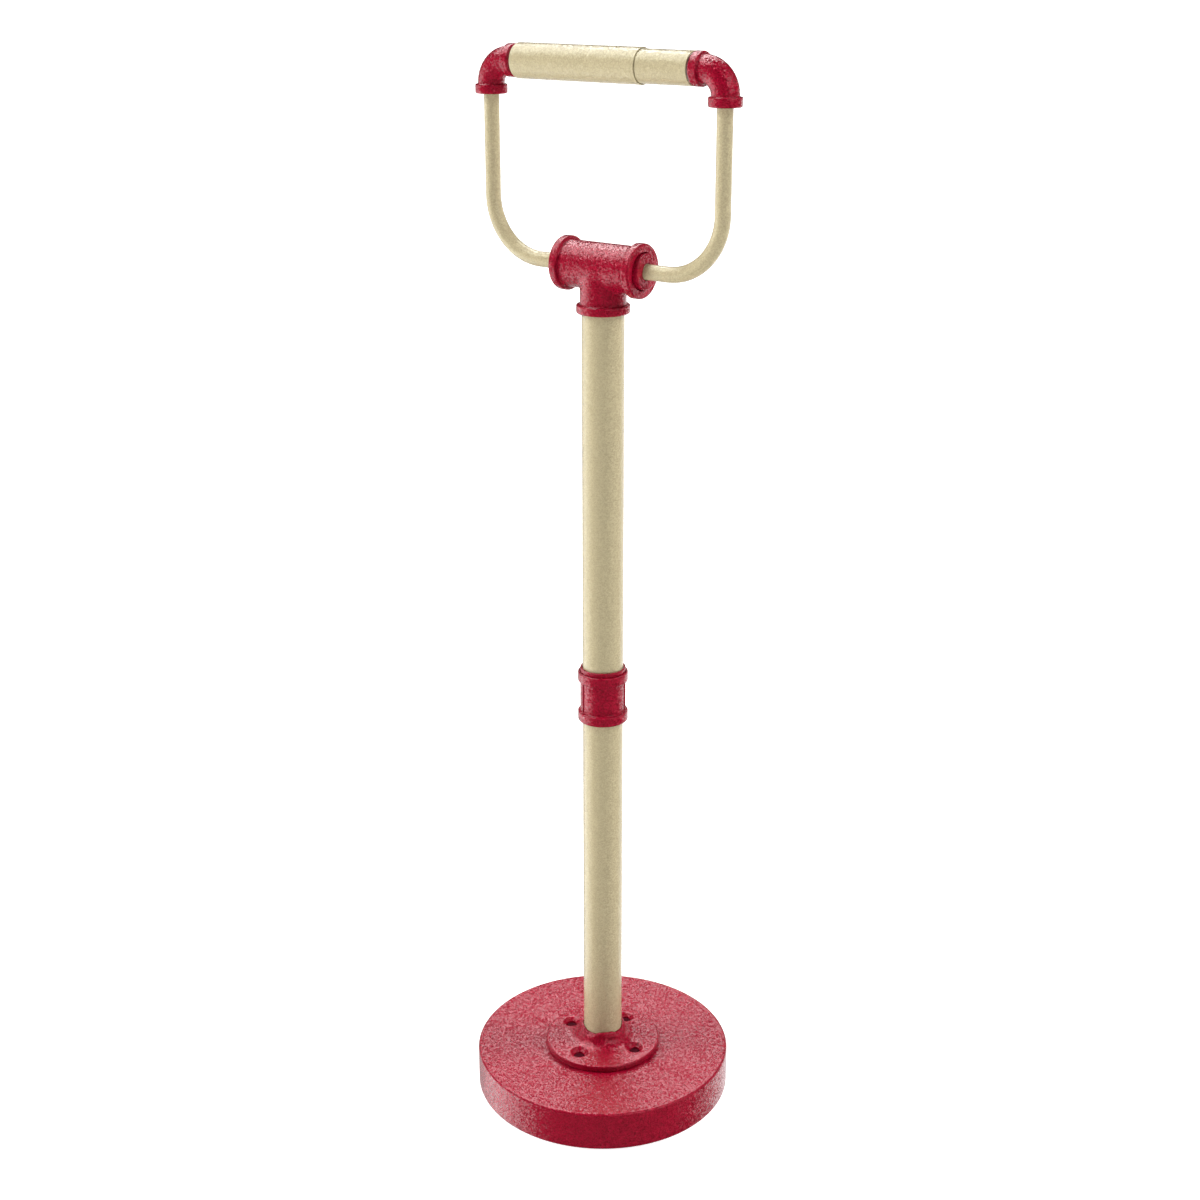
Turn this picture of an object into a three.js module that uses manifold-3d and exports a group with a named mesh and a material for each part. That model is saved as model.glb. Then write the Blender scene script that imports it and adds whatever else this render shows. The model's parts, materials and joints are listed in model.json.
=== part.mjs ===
// Free-standing toilet-paper stand in the style of threaded pipework.
// A weighted round base carries a floor flange, two lengths of pipe joined by a coupling, and a tee.
// Two bent rods leave the tee and end in elbows, and a sprung two-piece roller spans the elbows.
// Millimetres, +Z up. The origin is the centre of the underside. X runs along the roller.
import * as THREE from "three";
import { mergeVertices } from "three/addons/utils/BufferGeometryUtils.js";
import Module from "manifold-3d";

const wasm = await Module();
wasm.setup();

// ---- Driving dimensions ----
const GAP = 0.3; // air between pieces that fit inside one another
const SEAT = 0.1; // air between flat faces that rest on one another
const EDGE = 0.8; // chamfer on the edge of a turned piece
const FINE_EDGE = 0.5;

const DISC_SIDES = 56; // sides of the circles that the base is made with
const FITTING_SIDES = 36;
const SMALL_SIDES = 24;
const SCREW_SIDES = 16;

const BASE_R = 88.9; // 7 inch disc
const BASE_TOP = 29.3;
const BASE_BOTTOM = 1.2; // the pad lifts the disc this far
const PAD_R = 84;
const PAD_INNER_R = 62;
const PAD_POCKET = 1.8; // depth of the groove that holds the pad

const FLANGE_R = 40.4;
const FLANGE_RIM = 4.7; // height of the rim
const FLANGE_HUB_R = 16.5;
const FLANGE_TOP = 44.8;
const FLANGE_RISE = 1.2; // the plate climbs this far from its rim to the hub's fillet
const FLANGE_FILLET_R = 5;
const BOLT_CIRCLE_R = 28;
const BOLTS = 4;

const COUNTERSINK_DEPTH = 3.2;

const SCREW_R = 3.35;
const SCREW_HEAD_R = 6.2;
const SCREW_HEAD_H = 8;
const SCREW_TIP = 31.4;
const SOCKET_R = 3.4; // hexagon, centre to corner
const SOCKET_DEPTH = 4;
const WASHER_R = 7.6;
const WASHER_H = 1.6;
const COUNTERBORE_R = 8.2;
const COUNTERBORE_TOP = 13.2;

const PIPE_R = 13.45; // 3/4 inch nominal pipe, coated
const PIPE_BORE_R = 10.5;
const THREAD_R = 12.5;
const THREAD_LENGTH = 13;
const FITTING_BORE_R = 12.8;
const MOUTH_DEPTH = 2; // a pipe's full diameter enters a fitting this far

const COUPLING_BOTTOM = 281.2;
const COUPLING_TOP = 316.1;
const COUPLING_BAND_R = 16.7;
const COUPLING_BAND_H = 6.7;
const COUPLING_BODY_R = 14.3;
const COUPLING_SLOPE = 1.6; // height of the cone between a band and the body
const COUPLING_RIB_R = 15.1;
const RIB_WIDTH = 9;
const RIB_ANGLE = 226; // degrees from +X to the first of two opposite ribs
const RING_R = 15.1; // seating ring round the upper pipe
const RING_TOP = 318.9;
const RING_BOTTOM = 311;

const TEE_Z = 583.6; // axis of the run
const TEE_HALF = 30.3; // centre to either end of the run
const TEE_DROP = 28.5; // axis of the run to the foot of the branch
const TEE_BAND_R = 16.9;
const TEE_BAND_W = 5.5;
const TEE_BODY_R = 14.6;
const TEE_RUN_BORE_R = 11.4;

const TEE_BUSH_R = 11.06;
const TEE_BUSH_PROUD = 3.1; // how far a bushing stands out of the tee
const TEE_BUSH_INNER = 15;

const ROD_R = 4.85; // 3/8 inch bar, coated
const ROD_X = 86.4; // axis of the upright stretch
const ROD_BEND_R = 38;
const ROD_FACETS = 12;
const ROD_ROOT = 8.5; // inner end, inside the tee
const NUT_R = 8.2; // hexagon, centre to corner
const NUT_H = 5.5;

const ROLLER_Z = 703.4; // axis of the roller and of the elbows' level ports
const ELBOW_REACH = 20.5; // centre to either port
const ELBOW_BAND_R = 10.1;
const ELBOW_BAND_W = 5.8;
const ELBOW_BODY_R = 8.4;
const ELBOW_BORE_R = 6.9;
const ELBOW_BEND_R = 14.5;
const ELBOW_FACETS = 7;
const ROD_IN_ELBOW = 10.5; // how far a rod's end enters an elbow
const ELBOW_BUSH_H = 6.5;
const ROLLER_SEAT_L = 8.2;
const ROLLER_SEAT_DEPTH = 6.7; // blind hole for the roller's tip
const TIP_HOLE_R = 3.5;

const SLEEVE_R = 10.78;
const SLEEVE_WALL = 0.5;
const SLEEVE_LEFT = -63.6;
const SLEEVE_RIGHT = 29;
const PLUNGER_R = 10.02;
const PLUNGER_WALL = 0.75;
const PLUNGER_LEFT = -8;
const PLUNGER_RIGHT = 65.1;
const TIP_R = 3.2;
const TIP_REACH = 72.6; // centre of the roller to the end of either tip
const TIP_EDGE = 1.2; // chamfer at a tip's end, and at its root
const PLUG_H = 4.5; // thickness of the plug that closes each tube
const PLUG_SET_BACK = 0.4; // from the tube's end to the plug's face

const SPRING_R = 7.2; // centre of the wire
const WIRE_R = 0.7;
const SPRING_TURNS = 13;

// ---- Materials ----
const coat = (color) => new THREE.MeshStandardMaterial({ color, roughness: 0.45, metalness: 0.0 });
const RED = coat(0x8f1226);
const CREAM = coat(0xcdc2a0);
const STEEL = new THREE.MeshStandardMaterial({ color: 0x8d9094, roughness: 0.4, metalness: 1.0 });
const NYLON = new THREE.MeshStandardMaterial({ color: 0xe4e0d4, roughness: 0.5, metalness: 0.0 });
const RUBBER = new THREE.MeshStandardMaterial({ color: 0x1c1c1e, roughness: 0.9, metalness: 0.0 });

// ---- Shape helpers ----
// Closed solid turned about Z. The profile lists [radius, height] points, outwards along the foot first.
function turned(profile, sides) {
  const solidCore = profile[0][0] === 0;
  const outline = solidCore ? profile : [...profile, profile[0]];
  const points = outline.map(([r, z]) => new THREE.Vector2(r, z));
  return new THREE.LatheGeometry(points, sides).rotateX(Math.PI / 2);
}

// Solid cylinder along Z.
const rod = (radius, from, to, sides) =>
  turned([[0, from], [radius, from], [radius, to], [0, to]], sides);

// Hollow cylinder along Z.
const tube = (outer, inner, from, to, sides) =>
  turned([[inner, from], [outer, from], [outer, to], [inner, to]], sides);

// Hexagonal prism along Z, for screw sockets and nuts.
const hexagon = (corner, from, to) => rod(corner, from, to, 6);

function solid(geometry) {
  const bare = geometry.index ? geometry.toNonIndexed() : geometry.clone();
  bare.deleteAttribute("normal");
  bare.deleteAttribute("uv");
  const merged = mergeVertices(bare, 1e-3);
  return new wasm.Manifold(
    new wasm.Mesh({
      numProp: 3,
      vertProperties: merged.attributes.position.array,
      triVerts: new Uint32Array(merged.index.array),
    }),
  );
}

function shell(manifold) {
  const mesh = manifold.getMesh();
  const geometry = new THREE.BufferGeometry();
  geometry.setAttribute("position", new THREE.BufferAttribute(new Float32Array(mesh.vertProperties), 3));
  geometry.setIndex(new THREE.BufferAttribute(new Uint32Array(mesh.triVerts), 1));
  geometry.computeVertexNormals();
  return geometry;
}

// Joins the first list of geometries and cuts the second list out of it.
function carved(joined, cut) {
  const body = joined.map(solid).reduce((whole, piece) => whole.add(piece));
  return shell(cut.map(solid).reduce((rest, piece) => rest.subtract(piece), body));
}

// Turns a piece made along +Z so that it lies along +X or -X, at a height.
const lying = (geometry, side, height) =>
  geometry.rotateY((side * Math.PI) / 2).translate(0, 0, height);

// A route in the XZ plane: straight from start, a quarter bend, then straight to end.
// It is walked in equal parts, one for each straight and one for each facet of the bend.
class QuarterBend extends THREE.Curve {
  constructor(start, corner, end, radius, facets) {
    super();
    this.start = start;
    this.end = end;
    this.radius = radius;
    this.facets = facets;
    this.steps = facets + 2;
    this.inward = start.clone().sub(corner).normalize();
    this.onward = end.clone().sub(corner).normalize();
    this.bendStart = corner.clone().addScaledVector(this.inward, radius);
    this.bendEnd = corner.clone().addScaledVector(this.onward, radius);
    this.centre = this.bendStart.clone().addScaledVector(this.onward, radius);
  }

  getPoint(t, target = new THREE.Vector3()) {
    const part = t * this.steps;
    if (part <= 1) {
      return target.lerpVectors(this.start, this.bendStart, part);
    }
    if (part >= this.facets + 1) {
      return target.lerpVectors(this.bendEnd, this.end, part - this.facets - 1);
    }
    const angle = (((part - 1) / this.facets) * Math.PI) / 2;
    return target
      .copy(this.centre)
      .addScaledVector(this.onward, -this.radius * Math.cos(angle))
      .addScaledVector(this.inward, -this.radius * Math.sin(angle));
  }

  getPointAt(u, target) {
    return this.getPoint(u, target);
  }

  getTangentAt(u, target) {
    return this.getTangent(u, target);
  }
}

// Helix along X, for the spring.
class Helix extends THREE.Curve {
  constructor(from, to, radius, turns, height) {
    super();
    Object.assign(this, { from, to, radius, turns, height });
  }

  getPoint(t, target = new THREE.Vector3()) {
    const angle = 2 * Math.PI * this.turns * t;
    return target.set(
      this.from + (this.to - this.from) * t,
      this.radius * Math.cos(angle),
      this.height + this.radius * Math.sin(angle),
    );
  }
}

// Round bar of the given radius along a route. Its section is a circle with an even number of sides.
function swept(path, radius, sides, steps) {
  const section = new THREE.Shape().absarc(0, 0, radius, 0, 2 * Math.PI);
  return new THREE.ExtrudeGeometry(section, { extrudePath: path, steps, curveSegments: sides / 2 });
}

// Solid band for the mouth of a fitting, from its face at height 0 upwards.
const rimBand = (radius, width, sides) =>
  turned(
    [
      [0, 0],
      [radius - FINE_EDGE, 0],
      [radius, FINE_EDGE],
      [radius, width - EDGE],
      [radius - EDGE, width],
      [0, width],
    ],
    sides,
  );

// ---- Base ----
function baseDisc() {
  const groove = BASE_BOTTOM + PAD_POCKET;
  const disc = turned(
    [
      [0, BASE_BOTTOM],
      [PAD_INNER_R - GAP, BASE_BOTTOM],
      [PAD_INNER_R - GAP, groove],
      [PAD_R + GAP, groove],
      [PAD_R + GAP, BASE_BOTTOM],
      [BASE_R - EDGE, BASE_BOTTOM],
      [BASE_R, BASE_BOTTOM + EDGE],
      [BASE_R, BASE_TOP - EDGE],
      [BASE_R - EDGE, BASE_TOP],
      [0, BASE_TOP],
    ],
    DISC_SIDES,
  );
  const holes = boltPlaces().flatMap(([x, y]) => [
    rod(SCREW_R + GAP, 0, BASE_TOP + 1, SCREW_SIDES).translate(x, y, 0),
    rod(COUNTERBORE_R, 0, COUNTERBORE_TOP, SCREW_SIDES).translate(x, y, 0),
  ]);
  return carved([disc], holes);
}

const basePad = () =>
  tube(PAD_R, PAD_INNER_R, 0, BASE_BOTTOM + PAD_POCKET - SEAT, DISC_SIDES);

function boltPlaces() {
  return Array.from({ length: BOLTS }, (_, i) => {
    const angle = (2 * Math.PI * i) / BOLTS;
    return [BOLT_CIRCLE_R * Math.cos(angle), BOLT_CIRCLE_R * Math.sin(angle)];
  });
}

// Points of the fillet that rises from a plate to the hub, round a centre outside the hub.
function hubFillet(centreR, centreZ, radius) {
  const facets = 4;
  return Array.from({ length: facets + 1 }, (_, i) => {
    const angle = ((i / facets) * Math.PI) / 2;
    return [centreR - radius * Math.sin(angle), centreZ - radius * Math.cos(angle)];
  });
}

function floorFlange() {
  const foot = BASE_TOP + SEAT;
  const rim = BASE_TOP + FLANGE_RIM;
  const shoulder = rim + FLANGE_RISE;
  const plate = turned(
    [
      [FITTING_BORE_R, foot],
      [FLANGE_R, foot],
      [FLANGE_R, rim - EDGE],
      [FLANGE_R - EDGE, rim],
      ...hubFillet(FLANGE_HUB_R + FLANGE_FILLET_R, shoulder + FLANGE_FILLET_R, FLANGE_FILLET_R),
      [FLANGE_HUB_R, FLANGE_TOP - EDGE],
      [FLANGE_HUB_R - EDGE, FLANGE_TOP],
      [PIPE_R + GAP, FLANGE_TOP],
      [PIPE_R + GAP, FLANGE_TOP - MOUTH_DEPTH],
      [FITTING_BORE_R, FLANGE_TOP - MOUTH_DEPTH],
    ],
    FITTING_SIDES,
  );
  const coneFoot = shoulder - COUNTERSINK_DEPTH;
  const coneTop = shoulder + 1;
  const countersunk = [
    [0, foot - 1],
    [SCREW_R + GAP, foot - 1],
    [SCREW_R + GAP, coneFoot],
    [SCREW_R + GAP + coneTop - coneFoot, coneTop],
    [0, coneTop],
  ];
  const holes = boltPlaces().map(([x, y]) => turned(countersunk, SCREW_SIDES).translate(x, y, 0));
  return carved([plate], holes);
}

// Cap screw driven up from below, with its head in the disc's counterbore.
function baseScrew() {
  const headTop = COUNTERBORE_TOP - WASHER_H - 3 * SEAT;
  const headFoot = headTop - SCREW_HEAD_H;
  const body = turned(
    [
      [0, headFoot],
      [SCREW_HEAD_R - FINE_EDGE, headFoot],
      [SCREW_HEAD_R, headFoot + FINE_EDGE],
      [SCREW_HEAD_R, headTop],
      [SCREW_R, headTop],
      [SCREW_R, SCREW_TIP - EDGE],
      [SCREW_R - EDGE, SCREW_TIP],
      [0, SCREW_TIP],
    ],
    SCREW_SIDES,
  );
  return carved([body], [hexagon(SOCKET_R, headFoot - 1, headFoot + SOCKET_DEPTH)]);
}

const baseWasher = () =>
  tube(WASHER_R, SCREW_R + GAP, COUNTERBORE_TOP - SEAT - WASHER_H, COUNTERBORE_TOP - SEAT, SCREW_SIDES);

// ---- Pole ----
// Pipe whose ends are turned down where they screw into a fitting.
function pipe(from, to) {
  return turned(
    [
      [PIPE_BORE_R, from - THREAD_LENGTH],
      [THREAD_R, from - THREAD_LENGTH],
      [THREAD_R, from],
      [PIPE_R, from],
      [PIPE_R, to],
      [THREAD_R, to],
      [THREAD_R, to + THREAD_LENGTH],
      [PIPE_BORE_R, to + THREAD_LENGTH],
    ],
    FITTING_SIDES,
  );
}

const lowerPipe = () =>
  pipe(FLANGE_TOP - MOUTH_DEPTH + SEAT, COUPLING_BOTTOM + MOUTH_DEPTH - SEAT);
const upperPipe = () =>
  pipe(RING_BOTTOM + SEAT, TEE_Z - TEE_DROP + MOUTH_DEPTH - SEAT);

function poleCoupling() {
  const lower = COUPLING_BOTTOM + COUPLING_BAND_H;
  const upper = COUPLING_TOP - COUPLING_BAND_H;
  const body = turned(
    [
      [PIPE_R + GAP, COUPLING_BOTTOM],
      [COUPLING_BAND_R - FINE_EDGE, COUPLING_BOTTOM],
      [COUPLING_BAND_R, COUPLING_BOTTOM + FINE_EDGE],
      [COUPLING_BAND_R, lower],
      [COUPLING_BODY_R, lower + COUPLING_SLOPE],
      [COUPLING_BODY_R, upper - COUPLING_SLOPE],
      [COUPLING_BAND_R, upper],
      [COUPLING_BAND_R, COUPLING_TOP - FINE_EDGE],
      [COUPLING_BAND_R - FINE_EDGE, COUPLING_TOP],
      [RING_R + GAP, COUPLING_TOP],
      [RING_R + GAP, RING_BOTTOM - SEAT],
      [FITTING_BORE_R, RING_BOTTOM - SEAT],
      [FITTING_BORE_R, COUPLING_BOTTOM + MOUTH_DEPTH],
      [PIPE_R + GAP, COUPLING_BOTTOM + MOUTH_DEPTH],
    ],
    FITTING_SIDES,
  );
  const rib = new THREE.BoxGeometry(COUPLING_RIB_R, RIB_WIDTH, upper - lower + 1)
    .translate(COUPLING_RIB_R / 2, 0, (lower + upper) / 2)
    .rotateZ(THREE.MathUtils.degToRad(RIB_ANGLE));
  const ribs = [rib, rib.clone().rotateZ(Math.PI)];
  const bore = rod(FITTING_BORE_R, COUPLING_BOTTOM, RING_BOTTOM, FITTING_SIDES);
  return carved([body, ...ribs], [bore]);
}

const couplingRing = () =>
  turned(
    [
      [PIPE_R + GAP, RING_BOTTOM + GAP],
      [RING_R, RING_BOTTOM + GAP],
      [RING_R, RING_TOP - EDGE],
      [RING_R - EDGE, RING_TOP],
      [PIPE_R + GAP, RING_TOP],
    ],
    FITTING_SIDES,
  );

// ---- Tee ----
function teeFitting() {
  const foot = TEE_Z - TEE_DROP;
  const alongRun = (geometry, side = 1) => lying(geometry, side, TEE_Z);
  const band = rimBand(TEE_BAND_R, TEE_BAND_W, FITTING_SIDES);
  const rims = [1, -1].map((side) =>
    alongRun(band.clone().rotateX(Math.PI).translate(0, 0, TEE_HALF), side),
  );
  const branchRim = band.translate(0, 0, foot);
  const run = alongRun(rod(TEE_BODY_R, -TEE_HALF + 1, TEE_HALF - 1, FITTING_SIDES));
  const branch = rod(TEE_BODY_R, foot + 1, TEE_Z, FITTING_SIDES);
  const runBore = alongRun(rod(TEE_RUN_BORE_R, -TEE_HALF - 1, TEE_HALF + 1, FITTING_SIDES));
  const branchBore = rod(FITTING_BORE_R, foot - 1, TEE_Z, FITTING_SIDES);
  const branchMouth = rod(PIPE_R + GAP, foot - 1, foot + MOUTH_DEPTH, FITTING_SIDES);
  return carved([run, ...rims, branch, branchRim], [runBore, branchBore, branchMouth]);
}

const teeBushing = (side) =>
  lying(
    turned(
      [
        [ROD_R + GAP, TEE_BUSH_INNER],
        [TEE_BUSH_R, TEE_BUSH_INNER],
        [TEE_BUSH_R, TEE_HALF + TEE_BUSH_PROUD - FINE_EDGE],
        [TEE_BUSH_R - FINE_EDGE, TEE_HALF + TEE_BUSH_PROUD],
        [ROD_R + GAP, TEE_HALF + TEE_BUSH_PROUD],
      ],
      SMALL_SIDES,
    ),
    side,
    TEE_Z,
  );

// ---- Yoke ----
function yokeRod(side) {
  const route = new QuarterBend(
    new THREE.Vector3(side * ROD_ROOT, 0, TEE_Z),
    new THREE.Vector3(side * ROD_X, 0, TEE_Z),
    new THREE.Vector3(side * ROD_X, 0, ROLLER_Z - ELBOW_REACH + ROD_IN_ELBOW),
    ROD_BEND_R,
    ROD_FACETS,
  );
  return swept(route, ROD_R, SCREW_SIDES, route.steps);
}

// Nut that locks a rod against its bushing, inside the tee.
const rodNut = (side) =>
  lying(
    carved(
      [hexagon(NUT_R, TEE_BUSH_INNER - SEAT - NUT_H, TEE_BUSH_INNER - SEAT)],
      [rod(ROD_R + GAP, 0, TEE_BUSH_INNER + 1, SCREW_SIDES)],
    ),
    side,
    TEE_Z,
  );

function elbow(side) {
  const portX = side * (ROD_X - ELBOW_REACH);
  const portZ = ROLLER_Z - ELBOW_REACH;
  const route = (extra) =>
    new QuarterBend(
      new THREE.Vector3(portX - side * extra, 0, ROLLER_Z),
      new THREE.Vector3(side * ROD_X, 0, ROLLER_Z),
      new THREE.Vector3(side * ROD_X, 0, portZ - extra),
      ELBOW_BEND_R,
      ELBOW_FACETS,
    );
  const band = rimBand(ELBOW_BAND_R, ELBOW_BAND_W, SMALL_SIDES);
  const levelBand = lying(band.clone(), side, ROLLER_Z).translate(portX, 0, 0);
  const uprightBand = band.translate(side * ROD_X, 0, portZ);
  const [outside, inside] = [route(-1), route(1)];
  const body = swept(outside, ELBOW_BODY_R, SMALL_SIDES, outside.steps);
  const bore = swept(inside, ELBOW_BORE_R, SMALL_SIDES, inside.steps);
  return carved([body, levelBand, uprightBand], [bore]);
}

// Bushing that fills an elbow's lower port round the rod.
function elbowBushing(side) {
  const foot = ROLLER_Z - ELBOW_REACH + SEAT;
  const bushing = tube(ELBOW_BORE_R - GAP, ROD_R + GAP, foot, foot + ELBOW_BUSH_H, SMALL_SIDES);
  return bushing.translate(side * ROD_X, 0, 0);
}

// Blind seat in an elbow's level port, for the roller's tip.
function rollerSeat(side) {
  const face = ROD_X - ELBOW_REACH + GAP;
  const back = face + ROLLER_SEAT_L;
  const bottom = face + ROLLER_SEAT_DEPTH;
  const outer = ELBOW_BORE_R - GAP;
  const profile = [
    [0, bottom],
    [TIP_HOLE_R, bottom],
    [TIP_HOLE_R, face + FINE_EDGE],
    [TIP_HOLE_R + FINE_EDGE, face],
    [outer, face],
    [outer, back - EDGE],
    [outer - EDGE, back],
    [0, back],
  ];
  return lying(turned(profile, SMALL_SIDES), side, ROLLER_Z);
}

// ---- Roller ----
const alongRoller = (geometry) => lying(geometry, 1, ROLLER_Z);

const rollerSleeve = () =>
  alongRoller(tube(SLEEVE_R, SLEEVE_R - SLEEVE_WALL, SLEEVE_LEFT, SLEEVE_RIGHT, FITTING_SIDES));

const rollerPlunger = () =>
  alongRoller(
    tube(PLUNGER_R, PLUNGER_R - PLUNGER_WALL, PLUNGER_LEFT, PLUNGER_RIGHT, FITTING_SIDES),
  );

// Plug that closes one tube, with the tip that turns in an elbow's seat.
function rollerTip(side, end, tubeBore) {
  const face = Math.abs(end) - PLUG_SET_BACK;
  const profile = [
    [0, face - PLUG_H],
    [tubeBore - GAP, face - PLUG_H],
    [tubeBore - GAP, face],
    [TIP_R + TIP_EDGE, face],
    [TIP_R, face + TIP_EDGE],
    [TIP_R, TIP_REACH - TIP_EDGE],
    [TIP_R - TIP_EDGE, TIP_REACH],
    [0, TIP_REACH],
  ];
  return lying(turned(profile, SMALL_SIDES), side, ROLLER_Z);
}

function rollerSpring() {
  const inset = PLUG_SET_BACK + PLUG_H + WIRE_R + GAP;
  const [from, to] = [SLEEVE_LEFT + inset, PLUNGER_RIGHT - inset];
  const route = new Helix(from, to, SPRING_R, SPRING_TURNS, ROLLER_Z);
  return swept(route, WIRE_R, 6, SPRING_TURNS * 9);
}

// ---- Assembly ----
const stand = new THREE.Group();

function add(name, geometry, material) {
  const mesh = new THREE.Mesh(geometry, material);
  mesh.name = name;
  stand.add(mesh);
  return mesh;
}

add("base_disc", baseDisc(), RED);
add("base_pad", basePad(), RUBBER);
add("floor_flange", floorFlange(), RED);
boltPlaces().forEach(([x, y], i) => {
  add(`base_screw_${i + 1}`, baseScrew(), STEEL).position.set(x, y, 0);
  add(`base_washer_${i + 1}`, baseWasher(), STEEL).position.set(x, y, 0);
});

add("lower_pipe", lowerPipe(), CREAM);
add("pole_coupling", poleCoupling(), RED);
add("coupling_ring", couplingRing(), RED);
add("upper_pipe", upperPipe(), CREAM);
add("tee_fitting", teeFitting(), RED);

for (const [word, side] of [["left", -1], ["right", 1]]) {
  add(`tee_bushing_${word}`, teeBushing(side), RED);
  add(`rod_nut_${word}`, rodNut(side), STEEL);
  add(`yoke_rod_${word}`, yokeRod(side), CREAM);
  add(`elbow_${word}`, elbow(side), RED);
  add(`elbow_bushing_${word}`, elbowBushing(side), RED);
  add(`roller_seat_${word}`, rollerSeat(side), RED);
}

add("roller_sleeve", rollerSleeve(), CREAM);
add("roller_plunger", rollerPlunger(), CREAM);
add("roller_tip_left", rollerTip(-1, SLEEVE_LEFT, SLEEVE_R - SLEEVE_WALL), NYLON);
add("roller_tip_right", rollerTip(1, PLUNGER_RIGHT, PLUNGER_R - PLUNGER_WALL), NYLON);
add("roller_spring", rollerSpring(), STEEL);

export default stand;
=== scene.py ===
import json
import math

import bmesh
import bpy
import numpy as np
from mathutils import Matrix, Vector


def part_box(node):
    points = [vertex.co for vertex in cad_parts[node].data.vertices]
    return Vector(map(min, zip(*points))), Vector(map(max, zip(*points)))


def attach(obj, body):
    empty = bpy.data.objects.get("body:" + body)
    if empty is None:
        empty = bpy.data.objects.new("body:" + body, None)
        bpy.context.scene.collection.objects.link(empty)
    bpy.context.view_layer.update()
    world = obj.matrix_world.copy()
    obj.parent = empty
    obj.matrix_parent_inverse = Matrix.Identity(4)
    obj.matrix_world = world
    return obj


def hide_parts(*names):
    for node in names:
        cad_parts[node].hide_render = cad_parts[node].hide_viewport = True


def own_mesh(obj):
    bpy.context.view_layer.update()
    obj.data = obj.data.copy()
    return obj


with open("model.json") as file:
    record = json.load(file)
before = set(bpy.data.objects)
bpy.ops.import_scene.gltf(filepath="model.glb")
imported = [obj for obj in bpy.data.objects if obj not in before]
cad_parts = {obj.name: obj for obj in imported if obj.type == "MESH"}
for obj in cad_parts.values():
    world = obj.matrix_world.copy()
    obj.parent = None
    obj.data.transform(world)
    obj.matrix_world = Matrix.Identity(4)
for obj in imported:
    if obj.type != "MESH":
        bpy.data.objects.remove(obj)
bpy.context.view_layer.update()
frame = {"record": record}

MM = 0.001

# ---- Sizes that the frame's boxes don't give ----
GAP = 0.3  # air between pieces that fit inside one another
PIPE_BORE_R = 10.5
THREAD_R = 12.5
THREAD_LENGTH = 13
FITTING_BORE_R = 12.8
MOUTH_DEPTH = 2

PAD_INNER_R = 62
PAD_GROOVE = 1.8
COUNTERBORE_R = 8.2
COUNTERBORE_TOP = 13.2
DRILL_OVER = 1  # how far the drill runs past the base's faces
BOLT_CIRCLE_R = 28
SCREW_R = 3.35
SCREW_HEAD_H = 8
SOCKET_R = 3.4
SOCKET_DEPTH = 4

FLANGE_RIM = 4.7
FLANGE_RISE = 1.2
FLANGE_NECK_R = 16.5
FLANGE_HUB_R = 15.2  # at its top
FLANGE_HUB_SPREAD = 0.28  # widening for each millimetre down
FLANGE_CONE_FOOT = 32.0

COUPLING_BAND_H = 6.7
COUPLING_BODY_R = 14.3
COUPLING_RIB_R = 15.1
RIB_WIDTH = 9
RIB_ANGLE = 226  # degrees from +X
RING_BOTTOM = 311
RING_R = 15.1

TEE_BAND_W = 5.5
TEE_BODY_R = 14.6
TEE_RUN_BORE_R = 11.4

ROD_R = 4.85
ROD_BEND_R = 38

ELBOW_BAND_W = 5.8
ELBOW_BAND_R = 10.1
ELBOW_BODY_R = 8.4
ELBOW_BORE_R = 6.9
ELBOW_BEND_R = 14.5
SEAT_WALL = 1.5  # from the bottom of a seat's blind hole to its back
TIP_HOLE_R = 3.5

SLEEVE_WALL = 0.5
PLUNGER_WALL = 0.75
TIP_R = 3.2
TIP_EDGE = 1.2
PLUG_H = 4.5
PLUG_SET_BACK = 0.4
SPRING_R = 7.2
WIRE_R = 0.7
SPRING_TURNS = 13

SWEPT_EDGE = 0.5  # bevel at a swept bar's ends
NUDGE = 0.02  # step over which a distance's slope is measured
SIDES = 144  # sides of a turned piece's circles
ARC_STEPS = 6  # facets of a rounded corner

BODY_OF = {n: body for body, nodes in frame["record"]["behaviour"]["bodies"].items() for n in nodes}
SLOT_OF = {part["node"]: part["material_slot"] for part in frame["record"]["subparts"]}


def span(node):
    """Lowest and highest corner of a CAD node, in millimetres."""
    low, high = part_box(node)
    return np.array(low) / MM, np.array(high) / MM


# ---- Colours ----
# Each coat's grains take random tones between its dark and light colour. The tones are partly the coat's own
# grain and partly painted glints: the wide spread and the lighter grains stand in for the coat's sparkle
# highlights.
RED_DARK = (0.155, 0.001, 0.009)
RED_GRAIN_GLINT = (0.330, 0.004, 0.024)
RED_TINT = (0.95, 0.0, 0.1)
CREAM_DARK = (0.350, 0.298, 0.182)
CREAM_GRAIN_GLINT = (0.460, 0.392, 0.242)
CREAM_TINT = (0.6, 0.6, 0.2)


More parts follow.
